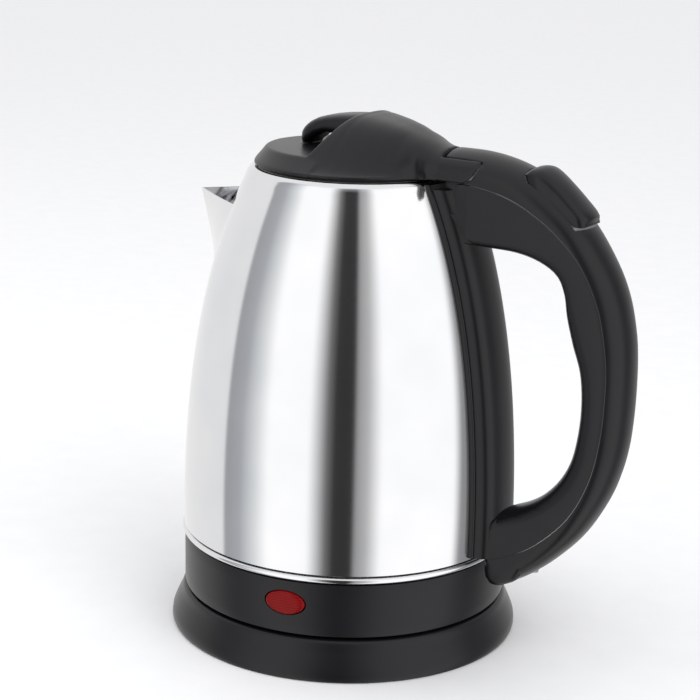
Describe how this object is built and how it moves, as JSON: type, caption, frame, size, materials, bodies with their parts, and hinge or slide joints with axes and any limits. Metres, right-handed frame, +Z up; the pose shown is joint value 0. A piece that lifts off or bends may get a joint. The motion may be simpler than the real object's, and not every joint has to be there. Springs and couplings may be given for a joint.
{
  "type": "electric kettle",
  "caption": "Cordless electric kettle with a tapered satin steel body, V spout, black D handle with on/off rocker, hinged lid and round power base.",
  "frame": {"origin": "on the vessel's axis, in the plane that the power base stands on", "axes": "+Z up along the vessel's axis, +X towards the handle, -X towards the spout"},
  "size_m": [0.224, 0.1596, 0.2369],
  "materials": {
    "black_plastic": "moulded, satin gloss",
    "inner_plastic": "moulded, matt",
    "steel": "satin, polished round the body",
    "fastener_steel": "plated",
    "aluminium": "mill finish",
    "brass": "rolled",
    "rubber": "moulded, matt",
    "silicone": "moulded, pale grey",
    "lamp_red": "clear red, polished",
    "lamp_glass": "clear",
    "lead_red": "extruded insulation",
    "lead_blue": "extruded insulation"
  },
  "bodies": {
    "power_base": {"base_shell": "black_plastic", "base_cover": "black_plastic", "base_foot_1": "rubber", "base_foot_2": "rubber", "base_foot_3": "rubber", "base_foot_4": "rubber", "base_screw_1": "fastener_steel", "base_screw_2": "fastener_steel", "base_screw_3": "fastener_steel", "socket_body": "inner_plastic", "socket_live_ring": "brass", "socket_neutral_ring": "brass", "socket_earth_sleeve": "brass", "cord_gland": "rubber"},
    "kettle_coupler": {"connector_body": "inner_plastic", "connector_contact_ring": "brass", "connector_earth_pin": "brass"},
    "kettle": {"bottom_housing": "black_plastic", "bottom_cover": "black_plastic", "bottom_screw_1": "fastener_steel", "bottom_screw_2": "fastener_steel", "bottom_screw_3": "fastener_steel", "bottom_trim_ring": "steel", "lamp_lens": "lamp_red", "neon_lamp": "lamp_glass", "steel_body": "steel", "spout": "steel", "spout_filter": "steel", "vessel_floor": "steel", "heat_diffuser": "aluminium", "heating_element": "steel", "control_unit": "inner_plastic", "dry_boil_bimetal_1": "brass", "dry_boil_bimetal_2": "brass", "body_seal": "silicone", "spine": "black_plastic", "handle_outer_shell": "black_plastic", "handle_inner_shell": "black_plastic", "handle_screw": "fastener_steel", "hinge_pin": "fastener_steel", "steam_switch": "inner_plastic", "steam_bimetal": "brass", "switch_lead_1": "lead_red", "switch_lead_2": "lead_blue", "rocker_pin": "fastener_steel"},
    "lid": {"lid_cover": "black_plastic", "lid_inner": "inner_plastic", "lid_gasket": "silicone", "lid_screw_1": "fastener_steel", "lid_screw_2": "fastener_steel"},
    "switch": {"switch_rocker": "black_plastic"}
  },
  "joints": [
    {"name": "kettle_lift", "type": "slide", "parent": "power_base", "child": "kettle_coupler", "axis": [0, 0, 1], "range_m": [0, 0.04]},
    {"name": "kettle_swivel", "type": "hinge", "parent": "kettle_coupler", "child": "kettle", "pos_m": [0, 0, 0.03], "axis": [0, 0, 1], "continuous": true},
    {"name": "lid_hinge", "type": "hinge", "parent": "kettle", "child": "lid", "pos_m": [0.0595, 0, 0.223], "axis": [0, 1, 0], "range_deg": [0, 80]},
    {"name": "switch_rocker", "type": "hinge", "parent": "kettle", "child": "switch", "pos_m": [0.103, 0, 0.2116], "axis": [0, 1, 0], "range_deg": [0, 6]}
  ]
}
